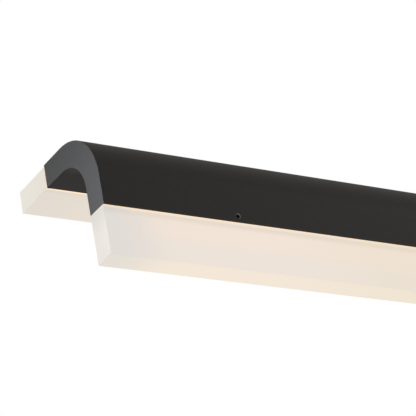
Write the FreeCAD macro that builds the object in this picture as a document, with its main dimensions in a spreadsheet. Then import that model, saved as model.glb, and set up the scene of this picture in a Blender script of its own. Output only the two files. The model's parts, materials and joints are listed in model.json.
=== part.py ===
"""Vanity light bar: a bent black shade with an edge-lit acrylic bar along each leg, on a square wall canopy.

Row frame: +X along the bar, +Y into the wall, +Z up. The origin is on the wall, at the centre of the
mounting plate. The shade's parts are drawn in the shade's own frame, whose origin is its outer corner:
y runs back from the front face and z is negative, down from the top face.
"""
import FreeCAD, Part
import math
import os
import re

import Sketcher

SIZES = [
    # the bent shade
    ("bar_length", 610), ("leg_length", 79.5), ("body_thick", 22), ("bend_radius", 52),
    ("inner_radius", 32), ("skin_thick", 2), ("lip_thick", 3), ("channel_depth", 13), ("web_thick", 2),
    ("cap_thick", 2.5), ("cap_edge", 0.3), ("peg_depth", 8), ("peg_length", 10), ("peg_play", 0.2),
    # where the shade stands: its front face from the wall, its top face below the canopy's centre
    ("shade_reach", 147), ("shade_drop", 7),
    # acrylic diffusers and the screws that clamp them
    ("diffuser_thick", 20.5), ("diffuser_inset", 1.5), ("diffuser_drop", 44.5), ("diffuser_edge", 0.4),
    ("tongue_depth", 9), ("tongue_play", 0.2), ("groove_depth", 1.8), ("groove_width", 4.4),
    ("set_screw_dia", 4), ("set_screw_length", 4), ("set_screw_inset", 5.5), ("set_screw_sunk", 1),
    ("set_screw_spread", 177), ("set_screw_key", 2), ("thread_play", 0.05),
    # light boards
    ("board_width", 12), ("board_thick", 1.5), ("board_length", 580),
    ("chip_long", 3.5), ("chip_wide", 2.8), ("chip_high", 0.7), ("chip_pitch", 10), ("chip_count", 57),
    ("board_screw_dia", 2.5), ("board_screw_head", 4.2), ("board_screw_rise", 1.4),
    ("board_screw_length", 4), ("board_screw_pitch", 150), ("board_screw_count", 4),
    ("plug_spread", 85), ("plug_length", 10), ("plug_width", 7), ("plug_depth", 5), ("plug_play", 0.5),
    # arms between canopy and shade, one each side of the centre
    ("arm_spread", 35), ("arm_width", 20), ("arm_height", 14), ("arm_wall", 2), ("arm_edge", 1.5),
    ("arm_start", 54), ("arm_back_wall", 3), ("foot_width", 42), ("foot_depth", 25), ("foot_thick", 3),
    ("arm_screw_dia", 4), ("arm_screw_head", 7.6), ("arm_screw_rise", 2.6), ("arm_screw_length", 8),
    ("arm_screw_pitch", 30), ("arm_screw_back", 58), ("screw_key", 2.5), ("socket_depth", 1.5),
    ("hole_play", 0.2),
    ("nut_plate_width", 44), ("nut_plate_depth", 12.8), ("nut_plate_thick", 3), ("nut_plate_bore", 11),
    ("wire_hole", 8), ("grommet_bore", 5), ("grommet_flange", 10), ("grommet_flange_thick", 1.2),
    ("nipple_dia", 10), ("nipple_bore", 7.5), ("nipple_length", 13), ("nipple_in_arm", 6),
    ("washer_dia", 16), ("washer_thick", 1), ("nut_flats", 14), ("nut_thick", 4),
    # canopy and the plate behind it
    ("canopy_size", 108), ("canopy_depth", 20), ("canopy_wall", 1.5), ("canopy_corner", 5),
    ("canopy_edge", 1), ("canopy_screw_back", 10), ("canopy_screw_head", 7.6), ("canopy_screw_rise", 2.2),
    ("canopy_screw_length", 8), ("stud_spread", 44.5), ("stud_dia", 3), ("stud_length", 6.5),
    ("plate_width", 104.6), ("plate_height", 36), ("plate_thick", 2), ("ear_height", 18), ("ear_depth", 16),
    ("slot_spacing", 88.9), ("slot_length", 9), ("slot_width", 4.6), ("plate_bore", 22),
    ("ground_spread", 25), ("ground_head", 8), ("ground_rise", 2.4), ("ground_length", 2.6),
    ("ring_dia", 10.5), ("ring_thick", 0.8), ("barrel_dia", 2.8), ("barrel_length", 5),
    # driver, terminal block and leads
    ("driver_length", 80), ("driver_height", 36), ("driver_depth", 16), ("driver_centre", 30),
    ("driver_edge", 1.5), ("tab_length", 98), ("tab_height", 12), ("tab_thick", 2),
    ("stud_nut_flats", 5.5), ("stud_nut_thick", 2.4),
    ("terminal_length", 24), ("terminal_height", 12), ("terminal_depth", 14), ("terminal_top", 8),
    ("terminal_pitch", 8), ("port_dia", 3.2), ("port_depth", 6), ("lead_entry", 3),
    ("supply_lead_dia", 1.8), ("line_lead_side", 17.6), ("neutral_lead_side", 8),
    ("output_lead_dia", 2.4), ("output_lead_back", 7.5),
    ("lead_turn", 6), ("tight_turn", 4.8), ("ground_turn", 3.2), ("lead_end_play", 0.5),
]

doc = FreeCAD.newDocument("vanity_light_bar")
sheet = doc.addObject("Spreadsheet::Sheet", "Sheet")
for row, (alias, number) in enumerate(SIZES, 1):
    sheet.set(f"A{row}", alias)
    sheet.set(f"B{row}", str(number))
    sheet.setAlias(f"B{row}", alias)
doc.recompute()

# Expressions that several parts share.
HALF_BAR = "bar_length / 2"
WEB_FACE = "(leg_length - channel_depth)"
MID_WALL = "body_thick / 2"
SCREW_LEVEL = "(leg_length - set_screw_inset)"
ARM_TOP = "(body_thick + foot_thick)"
ARM_AXIS = f"({ARM_TOP} + arm_height / 2)"
CANOPY_FRONT = "(shade_reach - canopy_depth)"
TONGUE_SIDE = "(lip_thick + tongue_play)"
INNER_BEND = "(body_thick + inner_radius)"
PLUG_END = f"({WEB_FACE} - plug_depth)"
RING_EDGE = "(ground_spread - ring_dia / 2)"
BARREL_BACK = "(plate_thick + thread_play + barrel_dia / 2)"

parts = {}


def value(text):
    """The number that an expression of sheet sizes stands for."""
    return float(sheet.evalExpression(text))


def bound(text):
    """The same expression as other objects have to write it."""
    return re.sub(r"[a-z][a-z_]+", r"Sheet.\g<0>", text)


def bind(thing, **sizes):
    for prop, text in sizes.items():
        thing.setExpression(prop.replace("__", "."), bound(text))
    return thing


def keep(thing, label):
    """Names a finished sub-part; its label is its file's name."""
    thing.Label = label
    parts[label] = thing
    return thing


def new_body(name, on_shade=True):
    body = doc.addObject("PartDesign::Body", name)
    if on_shade:
        bind(body, Placement__Base__y="-shade_reach", Placement__Base__z="-shade_drop")
    return body


def origin(body, role):
    return next(f for f in body.Origin.OriginFeatures if f.Role == role)


def fix_point(sketch, geometry, end, point, keep_u=True, keep_v=True):
    """Binds a point's distances from the sketch's origin to expressions."""
    for wanted, kind, text in ((keep_u, "DistanceX", point[0]), (keep_v, "DistanceY", point[1])):
        if wanted:
            index = sketch.addConstraint(Sketcher.Constraint(kind, -1, 1, geometry, end, value(text)))
            sketch.setExpression(f"Constraints[{index}]", bound(text))


def draw_circle(sketch, centre, radius):
    middle = FreeCAD.Vector(value(centre[0]), value(centre[1]), 0)
    circle = sketch.addGeometry(Part.Circle(middle, FreeCAD.Vector(0, 0, 1), value(radius)))
    fix_point(sketch, circle, 3, centre)
    index = sketch.addConstraint(Sketcher.Constraint("Radius", circle, value(radius)))
    sketch.setExpression(f"Constraints[{index}]", bound(radius))


def draw_outline(sketch, corners):
    """A closed outline. A corner is (u, v), reached by a straight line from the corner before it, or
    (u, v, centre u, centre v, turn), reached by an arc that turns "left" or "right"."""
    points = [FreeCAD.Vector(value(c[0]), value(c[1]), 0) for c in corners]
    ends = []  # each segment as (geometry, its end at the corner before, its end at this corner)
    for i, corner in enumerate(corners):
        here, before = points[i], points[i - 1]
        if len(corner) == 2:
            ends.append((sketch.addGeometry(Part.LineSegment(before, here)), 1, 2))
            continue
        centre = FreeCAD.Vector(value(corner[2]), value(corner[3]), 0)
        left = corner[4] == "left"
        first, last = (before, here) if left else (here, before)
        angles = [math.atan2(p.y - centre.y, p.x - centre.x) for p in (first, last)]
        if angles[1] < angles[0]:
            angles[1] += 2 * math.pi
        circle = Part.Circle(centre, FreeCAD.Vector(0, 0, 1), (here - centre).Length)
        arc = sketch.addGeometry(Part.ArcOfCircle(circle, angles[0], angles[1]))
        ends.append((arc, 1, 2) if left else (arc, 2, 1))
    for i, corner in enumerate(corners):
        geometry, _, here_end = ends[i]
        following, start_end, _ = ends[(i + 1) % len(corners)]
        sketch.addConstraint(Sketcher.Constraint("Coincident", geometry, here_end, following, start_end))
        if len(corner) == 2:
            fix_point(sketch, geometry, here_end, corner)
            continue
        # the arc's own radius already settles the coordinate that points away from its centre
        fix_point(sketch, geometry, 3, corner[2:4])
        reach = points[i] - FreeCAD.Vector(value(corner[2]), value(corner[3]), 0)
        along_u = abs(reach.x) > abs(reach.y)
        fix_point(sketch, geometry, here_end, corner, keep_u=not along_u, keep_v=along_u)


def draw(body, role, shapes, offset="0"):
    """A sketch on one of the body's origin planes, moved by offset along the plane's normal. A shape is an
    outline, or ("circle", centre, radius)."""
    sketch = body.newObject("Sketcher::SketchObject", body.Name + "_sketch")
    sketch.AttachmentSupport = [(origin(body, role), "")]
    sketch.MapMode = "FlatFace"
    bind(sketch, AttachmentOffset__Base__z=offset)
    for shape in shapes:
        if shape[0] == "circle":
            draw_circle(sketch, shape[1], shape[2])
        else:
            draw_outline(sketch, shape)
    doc.recompute()
    return sketch


def pad(body, role, shapes, length, offset="0", backwards=False, both_ways=False):
    sketch = draw(body, role, shapes, offset)
    feature = body.newObject("PartDesign::Pad", body.Name + "_pad")
    feature.Profile = sketch
    feature.Midplane = both_ways
    feature.Reversed = backwards
    bind(feature, Length=length)
    doc.recompute()
    return feature


def pocket(body, role, shapes, length, offset="0", backwards=False, both_ways=False):
    """Cuts shapes out of the body, and stops if the cut removed nothing."""
    sketch = draw(body, role, shapes, offset)
    before = body.Shape.Volume
    feature = body.newObject("PartDesign::Pocket", body.Name + "_pocket")
    feature.Profile = sketch
    feature.Midplane = both_ways
    feature.Reversed = backwards
    bind(feature, Length=length)
    doc.recompute()
    if not body.Shape.Volume < before:
        raise RuntimeError(f"a pocket of {body.Name} cut nothing")
    return feature


def ease_edges(body, wanted, size, kind="PartDesign::Chamfer"):
    """Chamfers or fillets the edges that wanted(edge) picks."""
    solid = body.Tip
    picked = [f"Edge{i}" for i, edge in enumerate(solid.Shape.Edges, 1) if wanted(edge)]
    feature = body.newObject(kind, body.Name + "_edge")
    feature.Base = (solid, picked)
    bind(feature, **{"Radius" if kind.endswith("Fillet") else "Size": size})
    doc.recompute()
    return feature


def mirrored_features(body, features):
    """Adds the features' mirror images on the other side of the middle of the bar."""
    feature = body.newObject("PartDesign::Mirrored", body.Name + "_mirror")
    feature.Originals = features
    feature.MirrorPlane = (origin(body, "YZ_Plane"), [""])
    body.Tip = feature
    doc.recompute()
    return feature


def row_of(body, features, length, count):
    """Copies features along +X, count in all, over length."""
    feature = body.newObject("PartDesign::LinearPattern", body.Name + "_row")
    feature.Originals = features
    feature.Direction = (origin(body, "X_Axis"), [""])
    bind(feature, Length=length, Occurrences=count)
    body.Tip = feature
    doc.recompute()
    return feature


def mirror_image(source, name, normal=(1, 0, 0)):
    """The same piece on the other side of a plane through the shade's outer corner."""
    image = doc.addObject("Part::Mirroring", name)
    image.Source = source
    image.Normal = FreeCAD.Vector(*normal)
    bind(image, Base__y="-shade_reach", Base__z="-shade_drop")
    doc.recompute()
    return image


def on_rear_leg(source, name):
    """The front leg's piece as it sits on the rear leg, across the bend's diagonal."""
    return mirror_image(source, name, (0, 1, 1))


def group(name, *members):
    """Separate solids that share one node."""
    compound = doc.addObject("Part::Compound", name)
    compound.Links = list(members)
    doc.recompute()
    return compound


def rectangle(u_low, v_low, u_high, v_high):
    return [(u_high, v_low), (u_high, v_high), (u_low, v_high), (u_low, v_low)]


def centred(u, v, width, height):
    """A rectangle about (u, v)."""
    return rectangle(f"{u} - {width} / 2", f"{v} - {height} / 2", f"{u} + {width} / 2", f"{v} + {height} / 2")


def rounded(half_width, half_height, radius):
    """A rectangle about the origin with rounded corners."""
    w, h, r = half_width, half_height, radius
    return [
        (f"{w}", f"{h} - {r}"), (f"{w} - {r}", f"{h}", f"{w} - {r}", f"{h} - {r}", "left"),
        (f"-{w} + {r}", f"{h}"), (f"-{w}", f"{h} - {r}", f"-{w} + {r}", f"{h} - {r}", "left"),
        (f"-{w}", f"-{h} + {r}"), (f"-{w} + {r}", f"-{h}", f"-{w} + {r}", f"-{h} + {r}", "left"),
        (f"{w} - {r}", f"-{h}"), (f"{w}", f"-{h} + {r}", f"{w} - {r}", f"-{h} + {r}", "left"),
    ]


def slot(u, v, length, width):
    """A slotted hole along u."""
    left, right = f"({u} - {length} / 2 + {width} / 2)", f"({u} + {length} / 2 - {width} / 2)"
    low, high = f"{v} - {width} / 2", f"{v} + {width} / 2"
    return [(right, low), (right, high, right, v, "left"), (left, high), (left, low, left, v, "left")]


def hexagon(u, v, flats):
    """A hexagon about (u, v), two corners along u."""
    corners = []
    for k in range(6):
        cosine, sine = math.cos(math.radians(60 * k)), math.sin(math.radians(60 * k))
        corners.append((f"{u} + {flats} * {cosine / math.sqrt(3):.9f}",
                        f"{v} + {flats} * {sine / math.sqrt(3):.9f}"))
    return corners


def bent_outline(depth, length):
    """The bend's outline at a depth under its faces: two legs of that length joined by two arcs."""
    inner = f"(body_thick - {depth})"
    return [
        (f"{depth}", "-bend_radius"),
        ("bend_radius", f"-{depth}", "bend_radius", "-bend_radius", "right"),
        (length, f"-{depth}"), (length, f"-{inner}"), (INNER_BEND, f"-{inner}"),
        (inner, f"-{INNER_BEND}", INNER_BEND, f"-{INNER_BEND}", "left"),
        (inner, f"-{length}"), (f"{depth}", f"-{length}"),
    ]


def lipped_outline():
    """The extrusion's outer outline, with the channel that each leg's end holds a diffuser in."""
    far_lip = "(body_thick - lip_thick)"
    return [
        ("0", "-bend_radius"),
        ("bend_radius", "0", "bend_radius", "-bend_radius", "right"),
        ("leg_length", "0"), ("leg_length", "-lip_thick"), (WEB_FACE, "-lip_thick"),
        (WEB_FACE, f"-{far_lip}"), ("leg_length", f"-{far_lip}"), ("leg_length", "-body_thick"),
        (INNER_BEND, "-body_thick"),
        ("body_thick", f"-{INNER_BEND}", INNER_BEND, f"-{INNER_BEND}", "left"),
        ("body_thick", "-leg_length"), (far_lip, "-leg_length"), (far_lip, f"-{WEB_FACE}"),
        ("lip_thick", f"-{WEB_FACE}"), ("lip_thick", "-leg_length"), ("0", "-leg_length"),
    ]


def both_sides(spread, v, radius):
    """Two circles, one each side of the middle."""
    return [("circle", (f"{side}{spread}", v), radius) for side in ("", "-")]


def board_screw_places(v, radius):
    """Circles at the board screws."""
    first = "-(board_screw_count - 1) * board_screw_pitch / 2"
    return [("circle", (f"{first} + {k} * board_screw_pitch", v), radius)
            for k in range(int(value("board_screw_count")))]


# ---- the bent shade ----

def make_extrusion():
    body = new_body("extrusion")
    pad(body, "YZ_Plane", [lipped_outline(), bent_outline("skin_thick", f"({WEB_FACE} - web_thick)")],
        "bar_length - 2 * cap_thick", both_ways=True)
    # clamping screw holes through the outer lips, front face and top face
    pocket(body, "XZ_Plane", both_sides("set_screw_spread", f"-{SCREW_LEVEL}", "set_screw_dia / 2"),
           "lip_thick + tongue_play")
    pocket(body, "XY_Plane", both_sides("set_screw_spread", SCREW_LEVEL, "set_screw_dia / 2"),
           "lip_thick + tongue_play")
    # wire holes and arm screw holes through the inner skin of the rear leg
    holes = both_sides("arm_spread", "arm_screw_back", "wire_hole / 2")
    for side in ("(arm_spread - arm_screw_pitch / 2)", "(arm_spread + arm_screw_pitch / 2)"):
        holes += both_sides(side, "arm_screw_back", "arm_screw_dia / 2 + hole_play")
    pocket(body, "XY_Plane", holes, "skin_thick", offset="-body_thick", backwards=True)
    # openings in the webs for the board plugs, and the board screws' threaded holes
    window = ("(plug_length + 2 * plug_play)", "(plug_width + 2 * plug_play)")
    pocket(body, "XY_Plane", [centred("-plug_spread", MID_WALL, *window)], "web_thick",
           offset=f"-{WEB_FACE}", backwards=True)
    pocket(body, "XZ_Plane", [centred("plug_spread", f"-{MID_WALL}", *window)], "web_thick",
           offset=f"-{WEB_FACE}", backwards=True)
    pocket(body, "XY_Plane", board_screw_places(MID_WALL, "board_screw_dia / 2"), "web_thick",
           offset=f"-{WEB_FACE}", backwards=True)
    pocket(body, "XZ_Plane", board_screw_places(f"-{MID_WALL}", "board_screw_dia / 2"), "web_thick",
           offset=f"-{WEB_FACE}", backwards=True)
    keep(body, "shade_extrusion")


def make_end_caps():
    body = new_body("end_cap")
    pad(body, "YZ_Plane", [bent_outline("0", "leg_length")], "cap_thick", offset=f"-{HALF_BAR}")
    outer_face = -value(HALF_BAR)
    ease_edges(body, lambda edge: all(abs(v.X - outer_face) < 1e-6 for v in edge.Vertexes), "cap_edge")
    # press-in pegs, one in each leg's cavity
    near, far = "(skin_thick + peg_play)", "(body_thick - skin_thick - peg_play)"
    top, foot = "bend_radius", "(bend_radius + peg_length)"
    pad(body, "YZ_Plane",
        [rectangle(near, f"-{foot}", far, f"-{top}"), rectangle(top, f"-{far}", foot, f"-{near}")],
        "peg_depth", offset=f"-{HALF_BAR} + cap_thick")
    keep(body, "end_cap_left")
    keep(mirror_image(body, "end_cap_mirror"), "end_cap_right")


# ---- diffusers and their clamping screws ----

def make_diffusers():
    body = new_body("diffuser")
    bottom = "-leg_length - diffuser_drop"
    pad(body, "YZ_Plane",
        [rectangle("diffuser_inset", bottom, "diffuser_inset + diffuser_thick", "-leg_length")],
        "bar_length", both_ways=True)
    shoulder = -value("leg_length")
    ease_edges(body, lambda edge: min(v.Z for v in edge.Vertexes) < shoulder - 1e-6, "diffuser_edge")
    tongue = rectangle(TONGUE_SIDE, "-leg_length", f"(body_thick - {TONGUE_SIDE})",
                       "-leg_length + tongue_depth")
    pad(body, "YZ_Plane", [tongue], "bar_length - 2 * cap_thick - 4 * tongue_play", both_ways=True)
    # a groove along the tongue, where the clamping screws' tips sit
    level = f"-{SCREW_LEVEL}"
    pocket(body, "YZ_Plane",
           [rectangle(TONGUE_SIDE, f"{level} - groove_width / 2", f"{TONGUE_SIDE} + groove_depth",
                      f"{level} + groove_width / 2")],
           "bar_length", both_ways=True)
    keep(body, "diffuser_front")
    keep(on_rear_leg(body, "diffuser_image"), "diffuser_rear")


def make_set_screws():
    body = new_body("set_screw")
    place = ("set_screw_spread", f"-{SCREW_LEVEL}")
    screw = pad(body, "XZ_Plane", [("circle", place, "set_screw_dia / 2 - thread_play")],
                "set_screw_length", offset="-set_screw_sunk", backwards=True)
    socket = pocket(body, "XZ_Plane", [hexagon(*place, "set_screw_key")], "set_screw_length / 2",
                    offset="-set_screw_sunk")
    mirrored_features(body, [screw, socket])
    keep(body, "set_screws_front")
    keep(on_rear_leg(body, "set_screw_image"), "set_screws_rear")


# ---- light boards ----

def make_boards():
    board = new_body("board")
    pad(board, "XY_Plane", [centred("0", MID_WALL, "board_length", "board_width")], "board_thick",
        offset=f"-{WEB_FACE}", backwards=True)
    pocket(board, "XY_Plane", board_screw_places(MID_WALL, "board_screw_dia / 2 + hole_play"),
           "board_thick", offset=f"-{WEB_FACE}")
    keep(board, "led_board_front")
    keep(on_rear_leg(board, "board_image"), "led_board_rear")

    chips = new_body("chip")
    first = "-(chip_count - 1) * chip_pitch / 2"
    chip = pad(chips, "XY_Plane", [centred(first, MID_WALL, "chip_wide", "chip_long")], "chip_high",
               offset=f"-{WEB_FACE} - board_thick", backwards=True)
    row_of(chips, [chip], "(chip_count - 1) * chip_pitch", "chip_count")
    keep(chips, "led_chips_front")
    keep(on_rear_leg(chips, "chip_image"), "led_chips_rear")

    screws = new_body("board_screw")
    first = "-(board_screw_count - 1) * board_screw_pitch / 2"
    face = f"-{WEB_FACE} - board_thick"
    head = pad(screws, "XY_Plane", [("circle", (first, MID_WALL), "board_screw_head / 2")],
               "board_screw_rise", offset=face, backwards=True)
    shank = pad(screws, "XY_Plane", [("circle", (first, MID_WALL), "board_screw_dia / 2 - thread_play")],
                "board_screw_length", offset=face)
    recess = pocket(screws, "XY_Plane", [hexagon(first, MID_WALL, "board_screw_dia / 2")],
                    "board_screw_rise / 2", offset=f"{face} - board_screw_rise", backwards=True)
    row_of(screws, [head, shank, recess], "(board_screw_count - 1) * board_screw_pitch",
           "board_screw_count")
    keep(screws, "board_screws_front")
    keep(on_rear_leg(screws, "board_screw_image"), "board_screws_rear")


def make_board_plugs():
    """The plugs stand on the boards' backs and reach through the webs, left in front and right behind."""
    plug = doc.addObject("Part::Box", "plug")
    bind(plug, Length="plug_length", Width="plug_width", Height="plug_depth",
         Placement__Base__x="-plug_spread - plug_length / 2",
         Placement__Base__y=f"-shade_reach + {MID_WALL} - plug_width / 2",
         Placement__Base__z=f"-shade_drop - {WEB_FACE}")
    keep(plug, "board_plug_front")
    keep(on_rear_leg(mirror_image(plug, "plug_mirror"), "plug_image"), "board_plug_rear")


# ---- arms ----

def make_arms():
    body = new_body("arm")
    middle = "-arm_spread"
    length = f"({CANOPY_FRONT} - arm_start)"
    pad(body, "XZ_Plane", [centred(middle, f"-{ARM_AXIS}", "arm_width", "arm_height")], length,
        offset="-arm_start", backwards=True)
    span = value(length)
    ease_edges(body, lambda edge: abs(edge.Length - span) < 1e-6, "arm_edge", "PartDesign::Fillet")
    pocket(body, "XZ_Plane",
           [centred(middle, f"-{ARM_AXIS}", "(arm_width - 2 * arm_wall)", "(arm_height - 2 * arm_wall)")],
           f"{length} - arm_wall - arm_back_wall", offset="-arm_start - arm_wall")
    pocket(body, "XZ_Plane", [("circle", (middle, f"-{ARM_AXIS}"), "nipple_dia / 2")], "arm_back_wall",
           offset=f"-{CANOPY_FRONT}", backwards=True)
    # the foot that the shade sits on, with the wire hole and two screw holes
    pad(body, "XY_Plane",
        [rectangle(f"{middle} - foot_width / 2", "arm_start", f"{middle} + foot_width / 2",
                   "arm_start + foot_depth")], "foot_thick", offset=f"-{ARM_TOP}")
    pocket(body, "XY_Plane", [("circle", (middle, "arm_screw_back"), "wire_hole / 2")],
           "foot_thick + arm_wall", offset="-body_thick")
    pocket(body, "XY_Plane",
           [("circle", (f"{middle} {sign} arm_screw_pitch / 2", "arm_screw_back"),
             "arm_screw_dia / 2 + hole_play") for sign in "+-"], "foot_thick", offset="-body_thick")
    keep(body, "arm_left")
    keep(mirror_image(body, "arm_image"), "arm_right")


def make_nut_plates():
    body = new_body("nut_plate")
    middle = "-arm_spread"
    pad(body, "XY_Plane", [centred(middle, "arm_screw_back", "nut_plate_width", "nut_plate_depth")],
        "nut_plate_thick", offset="-body_thick + skin_thick")
    holes = [("circle", (middle, "arm_screw_back"), "nut_plate_bore / 2")]
    holes += [("circle", (f"{middle} {sign} arm_screw_pitch / 2", "arm_screw_back"), "arm_screw_dia / 2")
              for sign in "+-"]
    pocket(body, "XY_Plane", holes, "nut_plate_thick",
           offset="-body_thick + skin_thick + nut_plate_thick")
    keep(body, "nut_plate_left")
    keep(mirror_image(body, "nut_plate_image"), "nut_plate_right")


def make_arm_screws():
    body = new_body("arm_screw")
    place = ("-arm_spread - arm_screw_pitch / 2", "arm_screw_back")
    seat = f"-{ARM_TOP}"
    head = pad(body, "XY_Plane", [("circle", place, "arm_screw_head / 2")], "arm_screw_rise",
               offset=seat, backwards=True)
    shank = pad(body, "XY_Plane", [("circle", place, "arm_screw_dia / 2 - thread_play")],
                "arm_screw_length", offset=seat)
    socket = pocket(body, "XY_Plane", [hexagon(*place, "screw_key")], "socket_depth",
                    offset=f"{seat} - arm_screw_rise", backwards=True)
    row_of(body, [head, shank, socket], "arm_screw_pitch", "2")
    keep(group("arm_screw_group", body, mirror_image(body, "arm_screw_image")), "arm_screws")


def make_grommets():
    """Rubber sleeves through foot and skin, each with a flange inside the shade."""
    body = new_body("grommet")
    inside, flange = "-body_thick + skin_thick", "-body_thick + skin_thick + grommet_flange_thick"
    place = ("-arm_spread", "arm_screw_back")
    sleeve = [("circle", place, "wire_hole / 2 - thread_play"), ("circle", place, "grommet_bore / 2")]
    rim = [("circle", place, "grommet_flange / 2"), ("circle", place, "grommet_bore / 2")]
    pad(body, "XY_Plane", sleeve, "foot_thick + skin_thick", offset=inside, backwards=True)
    pad(body, "XY_Plane", rim, "grommet_flange_thick", offset=flange, backwards=True)
    keep(group("grommet_group", body, mirror_image(body, "grommet_image")), "wire_grommets")


def make_arm_fixings():
    """Hollow threaded nipple, lock washer and nut that clamp each arm to the canopy's front."""
    axis = ("-arm_spread", f"-{ARM_AXIS}")
    inner_wall = f"({CANOPY_FRONT} + canopy_wall)"
    bore = ("circle", axis, "nipple_dia / 2 + thread_play")

    nipple = new_body("nipple")
    pad(nipple, "XZ_Plane",
        [("circle", axis, "nipple_dia / 2 - thread_play"), ("circle", axis, "nipple_bore / 2")],
        "nipple_length", offset=f"-{CANOPY_FRONT} + nipple_in_arm", backwards=True)
    keep(group("nipple_group", nipple, mirror_image(nipple, "nipple_image")), "arm_nipples")

    washer = new_body("washer")
    pad(washer, "XZ_Plane", [("circle", axis, "washer_dia / 2"), bore], "washer_thick",
        offset=f"-{inner_wall}", backwards=True)
    keep(group("washer_group", washer, mirror_image(washer, "washer_image")), "arm_lock_washers")

    nut = new_body("nut")
    pad(nut, "XZ_Plane", [hexagon(*axis, "nut_flats"), bore], "nut_thick",
        offset=f"-{inner_wall} - washer_thick", backwards=True)
    keep(group("nut_group", nut, mirror_image(nut, "nut_image")), "arm_nuts")


# ---- canopy and mounting plate ----

def make_canopy():
    body = new_body("canopy", on_shade=False)
    arm_level = f"-shade_drop - {ARM_AXIS}"
    pad(body, "XZ_Plane", [rounded("canopy_size / 2", "canopy_size / 2", "canopy_corner")],
        "canopy_depth")
    front = -value("canopy_depth")
    ease_edges(body, lambda edge: all(abs(v.Y - front) < 1e-6 for v in edge.Vertexes), "canopy_edge",
               "PartDesign::Fillet")
    inside = "(canopy_size / 2 - canopy_wall)"
    pocket(body, "XZ_Plane", [rounded(inside, inside, "(canopy_corner - canopy_wall)")],
           "canopy_depth - canopy_wall", backwards=True)
    pocket(body, "XZ_Plane", both_sides("arm_spread", arm_level, "nipple_dia / 2 + hole_play"),
           "canopy_wall", offset="canopy_depth")
    pocket(body, "YZ_Plane", [("circle", ("-canopy_screw_back", "0"), "arm_screw_dia / 2 + hole_play")],
           "canopy_size", both_ways=True)
    # welded studs that hold the driver
    pad(body, "XZ_Plane", both_sides("stud_spread", "driver_centre", "stud_dia / 2"), "stud_length",
        offset="canopy_depth - canopy_wall", backwards=True)
    keep(body, "canopy_cover")


def make_canopy_screws():
    """Button-head screws through the canopy's sides into the plate's ears."""
    body = new_body("canopy_screw", on_shade=False)
    place = ("-canopy_screw_back", "0")
    head = pad(body, "YZ_Plane", [("circle", place, "canopy_screw_head / 2")], "canopy_screw_rise",
               offset="canopy_size / 2")
    shank = pad(body, "YZ_Plane", [("circle", place, "arm_screw_dia / 2 - thread_play")],
                "canopy_screw_length", offset="canopy_size / 2", backwards=True)
    socket = pocket(body, "YZ_Plane", [hexagon(*place, "screw_key")], "socket_depth",
                    offset="canopy_size / 2 + canopy_screw_rise")
    mirrored_features(body, [head, shank, socket])
    keep(body, "canopy_screws")


def make_mounting_plate():
    body = new_body("plate", on_shade=False)
    pad(body, "XZ_Plane", [centred("0", "0", "plate_width", "plate_height")], "plate_thick")
    for side in (-1, 1):
        edge = f"{side} * plate_width / 2 - {(side + 1) // 2} * plate_thick"
        pad(body, "YZ_Plane", [rectangle("-ear_depth", "-ear_height / 2", "0", "ear_height / 2")],
            "plate_thick", offset=edge)
    slots = [slot(f"({side} * slot_spacing / 2)", "0", "slot_length", "slot_width") for side in (-1, 1)]
    holes = [("circle", ("0", "0"), "plate_bore / 2"),
             ("circle", ("ground_spread", "0"), "arm_screw_dia / 2")]
    pocket(body, "XZ_Plane", slots + holes, "plate_thick", backwards=True)
    pocket(body, "YZ_Plane", [("circle", ("-canopy_screw_back", "0"), "arm_screw_dia / 2")],
           "canopy_size", both_ways=True)
    keep(body, "mounting_plate")


def make_ground_screw():
    """Ground screw, and the crimped ring terminal under its head."""
    screw = new_body("ground_screw", on_shade=False)
    place = ("ground_spread", "0")
    seat = "(plate_thick + ring_thick)"
    pad(screw, "XZ_Plane", [hexagon(*place, "ground_head")], "ground_rise", offset=seat)
    pad(screw, "XZ_Plane", [("circle", place, "arm_screw_dia / 2 - thread_play")],
        "ground_length", offset=seat, backwards=True)
    keep(screw, "ground_screw")

    ring = new_body("ground_ring", on_shade=False)
    pad(ring, "XZ_Plane", [("circle", place, "ring_dia / 2"), ("circle", place, "arm_screw_dia / 2")],
        "ring_thick", offset="plate_thick")
    pad(ring, "YZ_Plane", [("circle", (f"-{BARREL_BACK}", "0"), "barrel_dia / 2")],
        "barrel_length", offset=f"{RING_EDGE} + ring_thick / 2", backwards=True)
    keep(ring, "ground_ring")


# ---- driver, terminal block and leads ----

def make_driver():
    body = new_body("driver", on_shade=False)
    wall = "canopy_depth - canopy_wall"
    pad(body, "XZ_Plane", [centred("0", "driver_centre", "driver_length", "driver_height")],
        "driver_depth", offset=wall, backwards=True)
    back = -value(wall) + value("driver_depth")
    ease_edges(body, lambda edge: all(abs(v.Y - back) < 1e-6 for v in edge.Vertexes), "driver_edge",
               "PartDesign::Fillet")
    pad(body, "XZ_Plane", [centred("0", "driver_centre", "tab_length", "tab_height")], "tab_thick",
        offset=wall, backwards=True)
    pocket(body, "XZ_Plane", both_sides("stud_spread", "driver_centre", "stud_dia / 2 + hole_play"),
           "tab_thick", offset=wall)
    keep(body, "led_driver")

    nuts = new_body("stud_nut", on_shade=False)
    place = ("stud_spread", "driver_centre")
    nut = pad(nuts, "XZ_Plane",
              [hexagon(*place, "stud_nut_flats"), ("circle", place, "stud_dia / 2 + thread_play")],
              "stud_nut_thick", offset=f"{wall} - tab_thick", backwards=True)
    mirrored_features(nuts, [nut])
    keep(nuts, "driver_nuts")


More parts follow.
